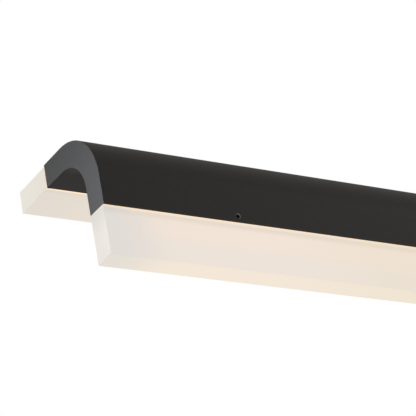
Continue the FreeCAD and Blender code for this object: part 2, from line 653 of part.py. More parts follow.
def make_terminal_block():
    """Three-way push-in block; house wires enter from the wall side, fixture leads from the top."""
    body = new_body("terminal", on_shade=False)
    wall = "canopy_depth - canopy_wall"
    level = "-terminal_top - terminal_height / 2"
    pad(body, "XZ_Plane", [centred("0", level, "terminal_length", "terminal_height")], "terminal_depth",
        offset=wall, backwards=True)
    places = [f"{k} * terminal_pitch" for k in (-1, 0, 1)]
    pocket(body, "XZ_Plane", [("circle", (x, level), "port_dia / 2") for x in places], "port_depth",
           offset=f"{wall} - terminal_depth", backwards=True)
    pocket(body, "XY_Plane",
           [("circle", (x, "-canopy_depth / 2"), "supply_lead_dia / 2 + hole_play") for x in places],
           "lead_entry", offset="-terminal_top")
    keep(body, "terminal_block")


def lead(points, turns, diameter):
    """A round lead along straight runs joined by tangent arcs; turns are the arcs' radii. Two arcs may
    meet with no straight between them."""
    corners = [FreeCAD.Vector(*p) for p in points]
    edges, start = [], corners[0]
    for before, corner, after, radius in zip(corners, corners[1:], corners[2:], turns):
        back, ahead = (before - corner).normalize(), (after - corner).normalize()
        half = back.getAngle(ahead) / 2
        first, last = corner + back * (radius / math.tan(half)), corner + ahead * (radius / math.tan(half))
        to_centre = (back + ahead).normalize()
        middle = corner + to_centre * (radius / math.sin(half) - radius)
        if not first.isEqual(start, 1e-6):
            edges.append(Part.LineSegment(start, first).toShape())
        edges.append(Part.Arc(first, middle, last).toShape())
        start = last
    edges.append(Part.LineSegment(start, corners[-1]).toShape())
    path = Part.Wire(edges)
    section = Part.Wire([Part.Circle(corners[0], corners[1] - corners[0], diameter / 2).toShape()])
    solid = path.makePipeShell([section], True, False)
    expected = path.Length * math.pi * diameter ** 2 / 4
    if abs(solid.Volume - expected) > 0.01 * expected:
        raise RuntimeError("a lead's volume differs from its section times its length")
    return solid, path.Length


def make_leads():
    def add(name, points, turns, diameter):
        feature = doc.addObject("Part::Feature", name)
        feature.Shape, length = lead(points, turns, diameter)
        keep(feature, name)
        print(f"{name}: {length:.0f} mm long")

    turn, tight, ground_turn = value("lead_turn"), value("tight_turn"), value("ground_turn")
    supply, output = value("supply_lead_dia"), value("output_lead_dia")
    driver_floor = value("driver_centre - driver_height / 2")
    block_top = -value("terminal_top")
    in_block = block_top - value("lead_entry - lead_end_play")
    pitch = value("terminal_pitch")
    mid_canopy = -value("canopy_depth") / 2

    # line and neutral, from the driver down into the terminal block
    for name, start_x, end_x in (("supply_lead_line", -value("line_lead_side"), -pitch),
                                 ("supply_lead_neutral", -value("neutral_lead_side"), 0.0)):
        points = [(start_x, mid_canopy, driver_floor), (start_x, mid_canopy, driver_floor - tight),
                  (end_x, mid_canopy, block_top + tight), (end_x, mid_canopy, in_block)]
        add(name, points, [turn, turn], supply)

    # ground, from the terminal block into the ring terminal's barrel
    barrel_y = -value(BARREL_BACK)
    barrel_end = value(f"{RING_EDGE} + ring_thick / 2 - barrel_length")
    points = [(pitch, mid_canopy, in_block), (pitch, mid_canopy, 0), (pitch, barrel_y, 0),
              (barrel_end, barrel_y, 0)]
    add("ground_lead", points, [ground_turn, ground_turn], supply)

    # output leads, through the arms and the shade's cavity to the plugs behind the light boards
    front, top = -value("shade_reach"), -value("shade_drop")
    arm_z, cavity_z = top - value(ARM_AXIS), top - value(MID_WALL)
    rise_y, plug_y = front + value("arm_screw_back"), front + value(PLUG_END)
    arm_x, plug_x, behind = value("arm_spread"), value("plug_spread"), -value("output_lead_back")
    bend, mid_wall = value("bend_radius"), value(MID_WALL)
    for name, side in (("output_lead_front", -1), ("output_lead_rear", 1)):
        points = [(side * arm_x, behind, driver_floor), (side * arm_x, behind, arm_z),
                  (side * arm_x, rise_y, arm_z), (side * arm_x, rise_y, cavity_z)]
        turns = [tight, turn, turn, turn]
        if name.endswith("front"):
            points += [(side * plug_x, rise_y, cavity_z), (side * plug_x, front + mid_wall, cavity_z),
                       (side * plug_x, front + mid_wall, top - value(PLUG_END))]
            turns.append(bend - mid_wall)
        else:
            points += [(side * plug_x, rise_y - turn, cavity_z), (side * plug_x, plug_y, cavity_z)]
        add(name, points, turns, output)


def check_and_export():
    doc.recompute()
    broken = [o.Label for o in doc.Objects if "Invalid" in o.State or "Error" in o.State]
    broken += [label for label, part in parts.items() if part.Shape.isNull() or not part.Shape.isValid()]
    broken += [label for label, part in parts.items() if not part.Shape.Solids]
    if broken:
        raise RuntimeError(f"not sound: {broken}")
    os.makedirs("parts", exist_ok=True)
    for label, part in parts.items():
        part.Shape.exportStep(f"parts/{label}.step")
    print(f"{len(parts)} sub-parts written")


for make in (make_extrusion, make_end_caps, make_diffusers, make_set_screws, make_boards,
             make_board_plugs, make_arms, make_nut_plates, make_arm_screws, make_grommets,
             make_arm_fixings, make_canopy, make_canopy_screws, make_mounting_plate, make_ground_screw,
             make_driver, make_terminal_block, make_leads):
    make()
check_and_export()
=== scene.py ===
import json
import math

import bmesh
import bpy
from mathutils import Matrix, Vector


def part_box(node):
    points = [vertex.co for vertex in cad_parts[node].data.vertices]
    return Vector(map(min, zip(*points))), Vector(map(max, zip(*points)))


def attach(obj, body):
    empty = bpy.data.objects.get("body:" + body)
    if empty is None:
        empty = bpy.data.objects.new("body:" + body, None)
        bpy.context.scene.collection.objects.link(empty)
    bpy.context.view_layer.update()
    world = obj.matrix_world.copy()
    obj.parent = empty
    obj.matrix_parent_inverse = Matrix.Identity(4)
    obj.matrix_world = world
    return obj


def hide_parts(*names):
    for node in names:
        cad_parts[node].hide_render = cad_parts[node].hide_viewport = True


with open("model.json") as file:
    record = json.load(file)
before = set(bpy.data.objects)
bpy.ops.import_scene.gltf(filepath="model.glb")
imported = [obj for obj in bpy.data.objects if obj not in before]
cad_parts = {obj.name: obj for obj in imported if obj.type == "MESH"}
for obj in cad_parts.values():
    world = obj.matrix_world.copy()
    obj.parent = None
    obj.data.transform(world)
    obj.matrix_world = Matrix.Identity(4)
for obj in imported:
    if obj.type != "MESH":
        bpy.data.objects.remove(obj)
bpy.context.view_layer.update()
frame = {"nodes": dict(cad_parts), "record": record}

MM = 0.001

# ---- sizes: from the frame's boxes where it has them, else details of the object's own ----

shade_low, shade_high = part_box("shade_extrusion")
front_low, front_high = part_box("diffuser_front")
arm_low, arm_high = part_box("arm_right")
canopy_low, canopy_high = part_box("canopy_cover")
plate_low, plate_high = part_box("mounting_plate")
driver_low, driver_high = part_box("led_driver")
block_low, block_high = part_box("terminal_block")
nipple_low, nipple_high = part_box("arm_nipples")
nut_low, nut_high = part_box("arm_nuts")
washer_low, washer_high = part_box("arm_lock_washers")

FRONT, TOP = shade_low.y, shade_high.z
LEG = shade_high.z - shade_low.z
HALF_BAR, HALF_BODY = front_high.x, shade_high.x
INSET = front_low.y - FRONT
THICK = front_high.y - FRONT
DROP = TOP - front_low.z
BEND, INNER_BEND = 52 * MM, THICK + 32 * MM
SKIN, LIP, WEB, CHANNEL = 2 * MM, 3 * MM, 2 * MM, 13 * MM
EDGE, SEAM_EDGE, CAP_EDGE = 0.4 * MM, 0.1 * MM, 0.3 * MM
PLAY = 0.2 * MM
PEG_START, PEG_LENGTH, PEG_DEPTH = BEND, 10 * MM, 8 * MM
TONGUE_DEPTH, GROOVE_DEPTH, GROOVE_WIDTH = 9 * MM, 1.8 * MM, 4.4 * MM
SCREW_LEVEL, SCREW_SPREAD, SCREW_RADIUS = LEG - 5.5 * MM, 177 * MM, 2 * MM
SCREW_SUNK, SCREW_SINK = 1 * MM, 0.35 * MM
MACHINE_SCREW = {"head": 7.6 * MM, "shank": 3.9 * MM, "length": 8 * MM, "key": 2.5 * MM, "socket": 1.5 * MM}
PLUG_SPREAD, PLUG_WINDOW = 85 * MM, (11 * MM, 8 * MM)
BOARD_SCREWS, BOARD_SCREW_RADIUS = [x * MM for x in (-225, -75, 75, 225)], 1.25 * MM
ARM_SPREAD, ARM_HEIGHT, ARM_WIDTH, ARM_WALL, ARM_EDGE = 35 * MM, 14 * MM, 20 * MM, 2 * MM, 1.5 * MM
ARM_BACK_WALL, FOOT_THICK, FOOT_DEPTH = 3 * MM, 3 * MM, 25 * MM
ARM_AXIS_Z = arm_low.z + ARM_HEIGHT / 2
ARM_SCREW_Y, ARM_SCREW_REACH = FRONT + 58 * MM, 15 * MM
WIRE_HOLE, BOLT_HOLE, TAPPED_HOLE, NIPPLE_HOLE = 4 * MM, 2.2 * MM, 2 * MM, 5.2 * MM
NIPPLE_THREAD, NIPPLE_TAP, NIPPLE_BORE, NIPPLE_PITCH = 4.95 * MM, 5 * MM, 3.75 * MM, 1 * MM
NIPPLE_AXIS, NUT_HOLE = Vector((ARM_SPREAD, 0, ARM_AXIS_Z)), NIPPLE_THREAD + 0.1 * MM
CANOPY_WALL, CANOPY_CORNER, CANOPY_EDGE, CANOPY_RIM = 1.5 * MM, 5 * MM, 1 * MM, 0.3 * MM
CANOPY_SCREW_Y = -10 * MM
STUD_SPREAD, STUD_RADIUS, STUD_LENGTH, STUD_WELD = 44.5 * MM, 1.5 * MM, 6.5 * MM, 0.6 * MM
PLATE_GAUGE, PLATE_BEND, PLATE_EDGE, EAR_HALF = 2 * MM, 3 * MM, 0.25 * MM, 9 * MM
BOX_SCREW_SPREAD, SLOT_HALF_LENGTH, SLOT_HALF_WIDTH = 44.45 * MM, 4.5 * MM, 2.3 * MM
HOUSE_WIRE_HOLE, GROUND_SPREAD = 11 * MM, 25 * MM
DRIVER_Z = (driver_low.z + driver_high.z) / 2
LEAD_Y = canopy_low.y / 2

BEND_STEPS, EDGE_STEPS, TURN_STEPS = 72, 4, 48


# ---- mesh helpers ----

def at(x, y, z):
    """Where a point of the shade's own coordinates is in the CAD model's frame."""
    return Vector((x, FRONT + y, TOP + z))


def finished(name, bm, sharp_angle=30):
    """Turns a bmesh into a mesh, smooth except where faces meet at more than sharp_angle degrees."""
    bmesh.ops.recalc_face_normals(bm, faces=bm.faces)
    mesh = bpy.data.meshes.new(name)
    bm.to_mesh(mesh)
    bm.free()
    return smoothed(mesh, sharp_angle)


def smoothed(mesh, sharp_angle=30):
    """Smooth shading, except along edges sharper than that angle."""
    mesh.shade_smooth()
    mesh.set_sharp_from_angle(angle=math.radians(sharp_angle))
    return mesh


def new_piece(name, mesh, slot, *nodes):
    """Puts a mesh into the scene as the piece that stands for those CAD nodes, in its slot's finish."""
    mesh.materials.clear()
    mesh.materials.append(finish(slot))
    piece = bpy.data.objects.new(name, mesh)
    bpy.context.scene.collection.objects.link(piece)
    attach(piece, "root")
    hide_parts(*nodes)
    flat = piece.modifiers.new("flat_faces_stay_flat", "WEIGHTED_NORMAL")
    flat.keep_sharp = True
    return piece


def rounded(corners):
    """A closed outline through corners (u, v, radius, steps), each rounded by an arc of that radius."""
    points = []
    for i, (u, v, radius, steps) in enumerate(corners):
        corner = Vector((u, v))
        if radius <= 0:
            points.append(corner)
            continue
        back = (Vector(corners[i - 1][:2]) - corner).normalized()
        ahead = (Vector(corners[(i + 1) % len(corners)][:2]) - corner).normalized()
        half = back.angle(ahead) / 2
        centre = corner + (back + ahead).normalized() * radius / math.sin(half)
        first = corner + back * radius / math.tan(half) - centre
        last = corner + ahead * radius / math.tan(half) - centre
        turn = first.angle_signed(last)
        points += [centre + Matrix.Rotation(-turn * k / steps, 2) @ first for k in range(steps + 1)]
    return points


def rectangle(low, high, radius=0.0, steps=6):
    """An outline round a box from corner low to corner high, drawn in by depth when called."""
    def outline(depth=0.0):
        inner = max(radius - depth, 0.05 * MM) if radius else 0
        left, bottom, right, top = low[0] + depth, low[1] + depth, high[0] - depth, high[1] - depth
        return rounded([(left, bottom, inner, steps), (right, bottom, inner, steps),
                        (right, top, inner, steps), (left, top, inner, steps)])
    return outline


def loft(bm, rings):
    """Skins closed rings of equal count and closes both ends."""
    loops = [[bm.verts.new(p) for p in ring] for ring in rings]
    for low, high in zip(loops, loops[1:]):
        for i in range(len(low)):
            bm.faces.new((low[i - 1], low[i], high[i], high[i - 1]))
    bm.faces.new(loops[0])
    bm.faces.new(list(reversed(loops[-1])))


def eased(low, high, low_edge, high_edge):
    """Stations along a length, each with how far the outline draws in there to round the ends' edges."""
    turns = [math.pi / 2 * k / EDGE_STEPS for k in range(EDGE_STEPS + 1)]
    start = [(low + low_edge * (1 - math.sin(a)), low_edge * (1 - math.cos(a))) for a in reversed(turns)]
    end = [(high - high_edge * (1 - math.sin(a)), high_edge * (1 - math.cos(a))) for a in turns]
    return (start if low_edge else [(low, 0)]) + (end if high_edge else [(high, 0)])


def prism(outline, place, low, high, low_edge=0.0, high_edge=0.0, name="prism"):
    """A solid of an outline's section from low to high; place(station, u, v) says where a point goes."""
    bm = bmesh.new()
    loft(bm, [[place(station, u, v) for u, v in outline(depth)]
              for station, depth in eased(low, high, low_edge, high_edge)])
    return finished(name, bm)


def along_y(station, u, v):
    """Stations run along y, and the outline lies in x and z."""
    return Vector((u, station, v))


def along_z(station, u, v):
    """Stations run along z, and the outline lies in x and y."""
    return Vector((u, v, station))


def hexagonal(flats, circle=math.inf):
    """A hexagon's radius at an angle, its corners cut back to a circle."""
    def radius(angle):
        return min(circle, flats / 2 / math.cos((angle + math.pi / 6) % (math.pi / 3) - math.pi / 6))
    return radius


def turned(profile, start, direction, name="turned"):
    """A lathe piece: profile points (along, radius) turned about an axis. A radius may be a function of the
    angle. The first and last points lie on the axis, or join up round a bore."""
    axis = Vector(direction).normalized()
    side = axis.orthogonal().normalized()
    other = axis.cross(side)
    angles = [2 * math.pi * k / TURN_STEPS for k in range(TURN_STEPS)]
    bm = bmesh.new()
    rings = []
    for along, radius in profile:
        middle = Vector(start) + axis * along
        if radius == 0:
            rings.append([bm.verts.new(middle)])
            continue
        reach = radius if callable(radius) else lambda angle, constant=radius: constant
        rings.append([bm.verts.new(middle + (side * math.cos(a) + other * math.sin(a)) * reach(a))
                      for a in angles])
    if profile[0][1] != 0:
        rings.append(rings[0])
    for low, high in zip(rings, rings[1:]):
        for k in range(TURN_STEPS):
            following = (k + 1) % TURN_STEPS
            corners = [low[k % len(low)], low[following % len(low)],
                       high[following % len(high)], high[k % len(high)]]
            distinct = list(dict.fromkeys(corners))
            if len(distinct) > 2:
                bm.faces.new(distinct)
    return finished(name, bm)


def drill(start, direction, radius, depth, sink=0.0):
    """A cutter for a hole, with a small countersink where it enters."""
    lead = 1 * MM
    return turned([(-lead, 0), (-lead, radius + sink + (lead if sink else 0)), (0, radius + sink),
                   (sink or lead / 2, radius), (depth, radius), (depth, 0)], start, direction)


def merged(meshes, name="merged"):
    """Separate solids in one mesh."""
    bm = bmesh.new()
    for mesh in meshes:
        bm.from_mesh(mesh)
    return finished(name, bm)


def moved(mesh, change):
    """A copy of a mesh with every point changed by a mirroring function."""
    copy = mesh.copy()
    for vertex in copy.vertices:
        vertex.co = change(vertex.co)
    copy.flip_normals()
    return smoothed(copy)


def mirror_x(point):
    """Where a point of the right half goes on the left half, or the other way round."""
    return Vector((-point.x, point.y, point.z))


def across_bend(point):
    """Where a point of the front leg goes on the rear leg."""
    return Vector((point.x, FRONT - (point.z - TOP), TOP - (point.y - FRONT)))


def both(mesh):
    """The mesh and its mirror image on the other side of the middle."""
    return merged([mesh, moved(mesh, mirror_x)])


def combined(mesh, operation, tools, name):
    """The mesh cut by, or joined with, other meshes."""
    objects = []
    for part in (mesh, merged(tools)):
        helper = bpy.data.objects.new("working", part)
        bpy.context.scene.collection.objects.link(helper)
        objects.append(helper)
    base, tool = objects
    modifier = base.modifiers.new("combine", "BOOLEAN")
    modifier.operation, modifier.solver, modifier.object = operation, "EXACT", tool
    graph = bpy.context.evaluated_depsgraph_get()
    result = bpy.data.meshes.new_from_object(base.evaluated_get(graph))
    result.name = name
    for helper in objects:
        bpy.data.objects.remove(helper)
    return smoothed(result)


# ---- the bent shade ----

def bent_outline(depth, leg_end):
    """The bend's section at a depth under its faces, in the shade's own coordinates."""
    far = THICK - depth
    return rounded([
        (depth, -leg_end, 0, 0), (depth, -depth, BEND - depth, BEND_STEPS), (leg_end, -depth, 0, 0),
        (leg_end, -far, 0, 0), (far, -far, INNER_BEND - far, BEND_STEPS), (far, -leg_end, 0, 0),
    ])


def lipped_outline():
    """The extrusion's section, with a channel in the end of each leg and eased lips."""
    web, far_lip = LEG - CHANNEL, THICK - LIP
    lip = (EDGE, EDGE_STEPS)
    return rounded([
        (0, -LEG, *lip), (0, 0, BEND, BEND_STEPS), (LEG, 0, *lip), (LEG, -LIP, *lip), (web, -LIP, 0, 0),
        (web, -far_lip, 0, 0), (LEG, -far_lip, *lip), (LEG, -THICK, *lip),
        (THICK, -THICK, INNER_BEND - THICK, BEND_STEPS), (THICK, -LEG, *lip), (far_lip, -LEG, *lip),
        (far_lip, -web, 0, 0), (LIP, -web, 0, 0), (LIP, -LEG, *lip),
    ])


def shade_cutters():
    """Set-screw holes in the outer lips; in the rear leg's skin, wire and arm-screw holes; in the webs,
    plug windows and board-screw holes."""
    web = LEG - CHANNEL
    front_leg = [drill(at(side * SCREW_SPREAD, 0, -SCREW_LEVEL), (0, 1, 0), SCREW_RADIUS, LIP + PLAY,
                       SCREW_SINK) for side in (-1, 1)]
    front_leg += [drill(at(x, THICK / 2, -web), (0, 0, 1), BOARD_SCREW_RADIUS, 1.5 * WEB)
                  for x in BOARD_SCREWS]
    width, depth = PLUG_WINDOW
    window = rectangle((-width / 2, -depth / 2), (width / 2, depth / 2), 0.5 * MM)

    def at_the_plug(s, u, v):
        return at(u - PLUG_SPREAD, THICK / 2 + v, s)

    front_plug = prism(window, at_the_plug, -web - 0.5 * WEB, -web + 1.5 * WEB)
    rear_leg = [moved(mesh, across_bend) for mesh in front_leg]
    rear_plug = moved(moved(front_plug, mirror_x), across_bend)
    arm_holes = []
    for side in (-1, 1):
        middle = Vector((side * ARM_SPREAD, ARM_SCREW_Y, TOP - THICK))
        arm_holes.append(drill(middle, (0, 0, 1), WIRE_HOLE, 1.5 * SKIN))
        for reach in (-ARM_SCREW_REACH, ARM_SCREW_REACH):
            arm_holes.append(drill(middle + Vector((reach, 0, 0)), (0, 0, 1), BOLT_HOLE, 1.5 * SKIN))
    return front_leg + rear_leg + [front_plug, rear_plug] + arm_holes


def make_shade_body():
    """The hollow extrusion, with its sealed cavity, its channels and its holes."""
    bm = bmesh.new()
    ends = (-HALF_BODY, HALF_BODY)
    for outline in (lipped_outline(), bent_outline(SKIN, LEG - CHANNEL - WEB)):
        loops = [[bm.verts.new(at(x, u, v)) for u, v in outline] for x in ends]
        for i in range(len(outline)):
            bm.faces.new((loops[0][i - 1], loops[0][i], loops[1][i], loops[1][i - 1]))
    for x in ends:
        rim = [e for e in bm.edges if all(abs(v.co.x - x) < 1e-7 for v in e.verts)]
        bmesh.ops.triangle_fill(bm, edges=rim, use_beauty=True)
    body = combined(finished("shade_body", bm), "DIFFERENCE", shade_cutters(), "shade_body")
    new_piece("shade_body", body, "black_powder_coat", "shade_extrusion")


def make_end_caps():
    """Plates with an eased outer edge and two press-in pegs each."""
    rings = [[at(s, u, v) for u, v in bent_outline(depth, LEG - depth)]
             for s, depth in eased(-HALF_BAR, -HALF_BODY, CAP_EDGE, SEAM_EDGE)]
    bm = bmesh.new()
    loft(bm, rings)
    near, far = SKIN + PLAY, THICK - SKIN - PLAY
    peg = prism(rectangle((near, -PEG_START - PEG_LENGTH), (far, -PEG_START), EDGE), at,
                -HALF_BODY - MM, -HALF_BODY + PEG_DEPTH, 0, EDGE)
    left = combined(finished("cap_left", bm), "UNION", [peg, moved(peg, across_bend)], "cap_left")
    right = moved(left, mirror_x)
    right.name = "cap_right"
    new_piece("cap_left", left, "black_powder_coat", "end_cap_left")
    new_piece("cap_right", right, "black_powder_coat", "end_cap_right")


# ---- diffusers and their clamping screws ----

def block_outline(depth):
    """The section of a diffuser's block, drawn in by depth except at the joint."""
    near, far, corner = INSET, THICK, (EDGE, EDGE_STEPS)
    return rounded([(near + depth, -DROP + depth, *corner), (near + depth, -LEG, 0, 0),
                    (far - depth, -LEG, 0, 0), (far - depth, -DROP + depth, *corner)])


def tongue_outline(_depth):
    """The section of a diffuser's tongue, with the groove for the set screws. It overlaps the block."""
    side, other, corner = LIP + PLAY, THICK - LIP - PLAY, (EDGE, EDGE_STEPS)
    floor, top = -LEG - MM, -LEG + TONGUE_DEPTH
    low, high = -SCREW_LEVEL - GROOVE_WIDTH / 2, -SCREW_LEVEL + GROOVE_WIDTH / 2
    return rounded([(side, floor, 0, 0), (side, low, 0, 0), (side + GROOVE_DEPTH, low, 0, 0),
                    (side + GROOVE_DEPTH, high, 0, 0), (side, high, 0, 0), (side, top, *corner),
                    (other, top, *corner), (other, floor, 0, 0)])


def make_diffusers():
    """Polished blocks, each with a grooved tongue in its leg's channel."""
    tongue = prism(tongue_outline, at, -HALF_BODY + 2 * PLAY, HALF_BODY - 2 * PLAY)
    block = prism(block_outline, at, -HALF_BAR, HALF_BAR, EDGE, EDGE)
    front = combined(block, "UNION", [tongue], "acrylic_front")
    rear = moved(front, across_bend)
    rear.name = "acrylic_rear"
    for mesh, leg in ((front, "front"), (rear, "rear")):
        piece = new_piece("acrylic_" + leg, mesh, "opal_acrylic", "diffuser_" + leg)
        piece.data.materials[0] = opal_acrylic(leg)


def make_set_screws():
    """Headless screws just below the lips' faces, with hexagon sockets."""
    radius, length, key = SCREW_RADIUS - 0.05 * MM, 4 * MM, 2 * MM
    chamfer = 0.3 * MM
    profile = [(length / 2, 0), (length / 2, hexagonal(key)), (0.1 * MM, hexagonal(key)),
               (0, key * 0.62), (0, radius - chamfer), (chamfer, radius), (length - chamfer, radius),
               (length, radius - chamfer), (length, radius * 0.4), (length - chamfer, 0)]
    screw = turned(profile, at(SCREW_SPREAD, SCREW_SUNK, -SCREW_LEVEL), (0, 1, 0))
    front = both(screw)
    new_piece("set_screws_front_leg", front, "black_steel", "set_screws_front")
    new_piece("set_screws_rear_leg", moved(front, across_bend), "black_steel", "set_screws_rear")


# ---- arms and screws ----

def button_screw(seat, direction, head, rise, shank, length, key, socket):
    """A domed screw whose head stands on seat and points along direction."""
    steps, side, chamfer = 6, 0.22 * rise, 0.3 * MM
    flat = head * 0.28
    dome = []
    for k in range(steps + 1):
        angle = math.pi / 2 * k / steps
        dome.append((side + (rise - side) * math.sin(angle), flat + (head / 2 - flat) * math.cos(angle)))
    profile = [(-length, 0), (-length, shank / 2 - chamfer), (-length + chamfer, shank / 2), (0, shank / 2),
               (0, head / 2 - 0.1 * MM), (0.1 * MM, head / 2)]
    profile += dome
    profile += [(rise, key * 0.62), (rise - 0.15 * MM, hexagonal(key)), (rise - socket, hexagonal(key)),
                (rise - socket - 0.3 * MM, 0)]
    return turned(profile, seat, direction)


def make_arms():
    """Closed square tubes on feet that carry the shade."""
    middle = (arm_low.x + arm_high.x) / 2
    front, back, foot_floor = arm_low.y, arm_high.y, arm_high.z - FOOT_THICK
    half_width, half_height = ARM_WIDTH / 2, ARM_HEIGHT / 2
    tube = prism(rectangle((middle - half_width, ARM_AXIS_Z - half_height),
                           (middle + half_width, ARM_AXIS_Z + half_height), ARM_EDGE),
                 along_y, front, back, EDGE, 0)
    foot = prism(rectangle((arm_low.x, front), (arm_high.x, front + FOOT_DEPTH), 3 * MM), along_z,
                 foot_floor, arm_high.z, EDGE, EDGE)
    cavity = prism(rectangle((middle - half_width + ARM_WALL, ARM_AXIS_Z - half_height + ARM_WALL),
                             (middle + half_width - ARM_WALL, ARM_AXIS_Z + half_height - ARM_WALL), EDGE),
                   along_y, front + ARM_WALL, back - ARM_BACK_WALL)
    under_foot = Vector((middle, ARM_SCREW_Y, foot_floor))
    screw_seats = [under_foot + Vector((reach, 0, 0)) for reach in (-ARM_SCREW_REACH, ARM_SCREW_REACH)]
    foot_top = under_foot + Vector((0, 0, FOOT_THICK))
    cutters = [cavity,
               drill(Vector((middle, back, ARM_AXIS_Z)), (0, -1, 0), NIPPLE_TAP, 1.5 * ARM_BACK_WALL),
               drill(foot_top, (0, 0, -1), WIRE_HOLE, FOOT_THICK + 1.5 * ARM_WALL)]
    cutters += [drill(seat, (0, 0, 1), BOLT_HOLE, 2 * FOOT_THICK) for seat in screw_seats]
    solid = combined(tube, "UNION", [foot], "arm")
    right = combined(solid, "DIFFERENCE", cutters, "support_arm_right")
    new_piece("support_arm_right", right, "black_powder_coat", "arm_right")
    new_piece("support_arm_left", moved(right, mirror_x), "black_powder_coat", "arm_left")
    screws = [button_screw(seat, (0, 0, -1), rise=2.6 * MM, **MACHINE_SCREW) for seat in screw_seats]
    new_piece("foot_screws", both(merged(screws)), "black_steel", "arm_screws")


def make_nipples():
    """Threaded tubes that join the arms to the canopy's front."""
    root = NIPPLE_THREAD - 0.35 * MM
    start, end = nipple_low.y, nipple_high.y
    profile = [(start, NIPPLE_BORE), (start, root)]
    for k in range(int((end - start) / NIPPLE_PITCH)):
        profile += [(start + (k + 0.5) * NIPPLE_PITCH, NIPPLE_THREAD), (start + (k + 1) * NIPPLE_PITCH, root)]
    profile.append((end, NIPPLE_BORE))
    nipple = turned(profile, NIPPLE_AXIS, (0, 1, 0))
    new_piece("threaded_nipples", both(nipple), "brass_thread", "arm_nipples")


def make_clamping_nuts():
    """Hexagon nuts with their corners chamfered on both faces, behind the canopy's front."""
    flats, ease, sink, steps = 14 * MM, 0.1 * MM, 0.4 * MM, 3
    low, high = nut_low.y, nut_high.y
    corner, smallest = flats / 2 / math.cos(math.pi / 6), flats / 2 - ease
    face = []
    for k in range(steps + 1):
        circle = smallest + (corner - smallest) * k / steps
        face.append(((circle - smallest) * 0.5, hexagonal(flats, circle)))
    profile = [(low, NUT_HOLE + sink)] + [(low + rise, radius) for rise, radius in face]
    profile += [(high - rise, radius) for rise, radius in reversed(face)]
    profile += [(high, NUT_HOLE + sink), (high - sink, NUT_HOLE), (low + sink, NUT_HOLE)]
    nut = turned(profile, NIPPLE_AXIS, (0, 1, 0))
    new_piece("clamping_nuts", both(nut), "brass_thread", "arm_nuts")


def make_toothed_washers():
    """Lock washers with teeth round their holes, under the clamping nuts."""
    outer, ease, teeth, tooth = 8 * MM, 0.1 * MM, 12, 0.9 * MM

    def toothed(angle):
        return NUT_HOLE + tooth * (0.5 + 0.5 * math.cos(teeth * angle))

    low, high = washer_low.y, washer_high.y
    washer = turned([(low, toothed), (low, outer - ease), (low + ease, outer), (high - ease, outer),
                     (high, outer - ease), (high, toothed)], NIPPLE_AXIS, (0, 1, 0))
    new_piece("toothed_washers", both(washer), "zinc_steel", "arm_lock_washers")


# ---- canopy and mounting plate ----

def canopy_shell():
    """A drawn square box, open at the back, with a rounded front edge and rim."""
    outer = rectangle(canopy_low.xz, canopy_high.xz, CANOPY_CORNER, 8)
    front, back, rim = canopy_low.y, canopy_high.y, CANOPY_RIM
    stations = eased(front, back, CANOPY_EDGE, rim)
    stations += [(back - rim * (1 - math.cos(a)), CANOPY_WALL - rim + rim * math.sin(a))
                 for a in (math.pi / 2 * k / EDGE_STEPS for k in range(EDGE_STEPS + 1))]
    stations += [(front + CANOPY_WALL + CANOPY_EDGE, CANOPY_WALL),
                 (front + CANOPY_WALL + 0.3 * CANOPY_EDGE, CANOPY_WALL + 0.3 * CANOPY_EDGE),
                 (front + CANOPY_WALL, CANOPY_WALL + CANOPY_EDGE)]
    bm = bmesh.new()
    loft(bm, [[along_y(s, u, v) for u, v in outer(depth)] for s, depth in stations])
    return finished("canopy", bm)


def driver_stud():
    """The right-hand stud, with its weld's foot inside the canopy's front."""
    weld, tip = STUD_RADIUS + STUD_WELD, 0.3 * MM
    profile = [(-0.5 * CANOPY_WALL, 0), (-0.5 * CANOPY_WALL, weld), (0.1 * MM, weld), (0.5 * MM, STUD_RADIUS),
               (STUD_LENGTH - tip, STUD_RADIUS), (STUD_LENGTH, STUD_RADIUS - tip), (STUD_LENGTH, 0)]
    return turned(profile, Vector((STUD_SPREAD, canopy_low.y + CANOPY_WALL, DRIVER_Z)), (0, 1, 0))


def make_canopy():
    """A square drawn cover, with the arms' and screws' holes and two welded studs."""
    through = 1.5 * CANOPY_WALL
    cutters = [drill(Vector((side * ARM_SPREAD, canopy_low.y, ARM_AXIS_Z)), (0, 1, 0), NIPPLE_HOLE, through)
               for side in (-1, 1)]
    cutters += [drill(Vector((side * canopy_high.x, CANOPY_SCREW_Y, 0)), (-side, 0, 0), BOLT_HOLE, through)
                for side in (-1, 1)]
    shell = combined(canopy_shell(), "DIFFERENCE", cutters, "canopy")
    canopy = combined(shell, "UNION", [both(driver_stud())], "canopy")
    new_piece("canopy", canopy, "black_powder_coat", "canopy_cover")
    seat = Vector((canopy_high.x, CANOPY_SCREW_Y, 0))
    screw = button_screw(seat, (1, 0, 0), rise=2.2 * MM, **MACHINE_SCREW)
    new_piece("canopy_side_screws", both(screw), "black_steel", "canopy_screws")


def strap_outline(depth):
    """The plate's section seen from above: its ends are bent forward into ears."""
    reach, tip, edge = plate_high.x, plate_low.y + depth, (PLATE_EDGE, 2)
    outer, inner = reach - depth, reach - PLATE_GAUGE + depth
    back, face = -depth, -PLATE_GAUGE + depth
    outer_bend, inner_bend = (PLATE_BEND - depth, 6), (PLATE_BEND - PLATE_GAUGE + depth, 6)
    return rounded([(-outer, back, *outer_bend), (outer, back, *outer_bend), (outer, tip, *edge),
                    (inner, tip, *edge), (inner, face, *inner_bend), (-inner, face, *inner_bend),
                    (-inner, tip, *edge), (-outer, tip, *edge)])


def box_screw_slot(side):
    """A cutter for the slot that takes one of the wall box's cover screws."""
    centre = side * BOX_SCREW_SPREAD
    outline = rectangle((centre - SLOT_HALF_LENGTH, -SLOT_HALF_WIDTH),
                        (centre + SLOT_HALF_LENGTH, SLOT_HALF_WIDTH), SLOT_HALF_WIDTH - 0.01 * MM, 8)
    return prism(outline, along_y, -PLATE_GAUGE - MM, MM)


